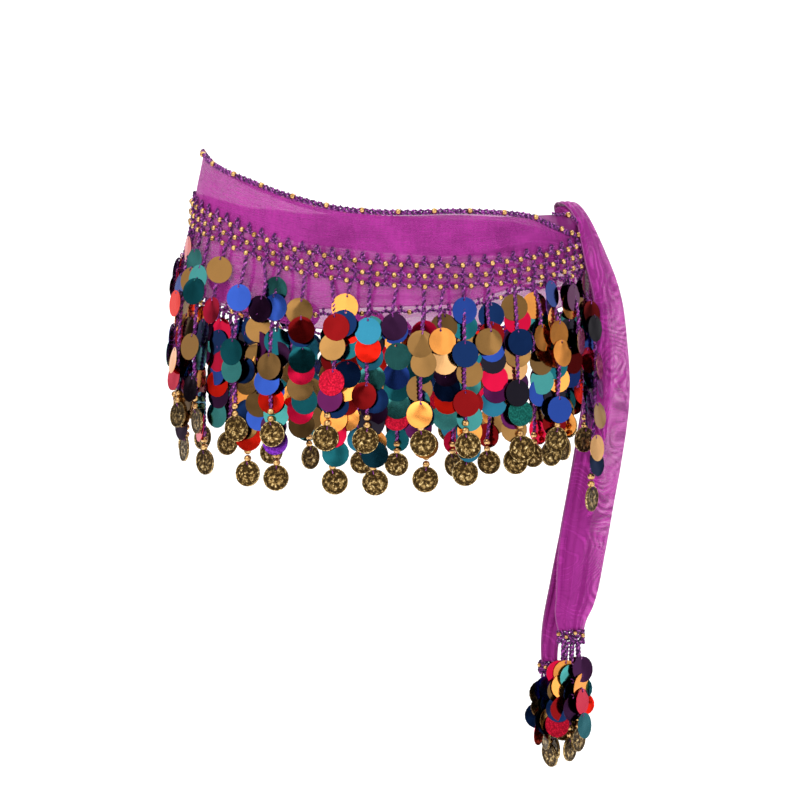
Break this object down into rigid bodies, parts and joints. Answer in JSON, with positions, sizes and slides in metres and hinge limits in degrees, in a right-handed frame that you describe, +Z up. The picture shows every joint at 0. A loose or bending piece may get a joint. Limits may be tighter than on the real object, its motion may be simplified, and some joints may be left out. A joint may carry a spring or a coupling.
{
  "type": "belly dance hip scarf",
  "caption": "Sheer hip scarf worn tied at one side, with a crocheted beaded net, hanging strands of round spangles and coins, and two tasselled tails.",
  "frame": {"origin": "middle of the hips that hold the scarf up, at the height of its front top edge", "axes": "+Z up, +X towards the wearer's left where the knot is, the front faces -Y"},
  "size_m": [0.3998, 0.2619, 0.5399],
  "materials": {
    "sheer_cloth": "sheer plain-woven chiffon, soft sheen",
    "crochet_cord": "crocheted metallic thread with gold beads",
    "fringe": "thread strands with many-coloured metallic spangles and brass-toned coins"
  },
  "bodies": {
    "root": {"wrap_front": "sheer_cloth", "wrap_back": "sheer_cloth", "turn_in_front": "sheer_cloth", "turn_in_back": "sheer_cloth", "knot": "sheer_cloth", "tail_over": "sheer_cloth", "tail_under": "sheer_cloth", "net_front": "crochet_cord", "net_back": "crochet_cord", "top_edging": "crochet_cord", "net_fringe_front": "fringe", "net_fringe_back": "fringe", "hem_fringe_front": "fringe", "hem_fringe_back": "fringe", "tassel_over": "fringe", "tassel_under": "fringe"}
  },
  "joints": []
}
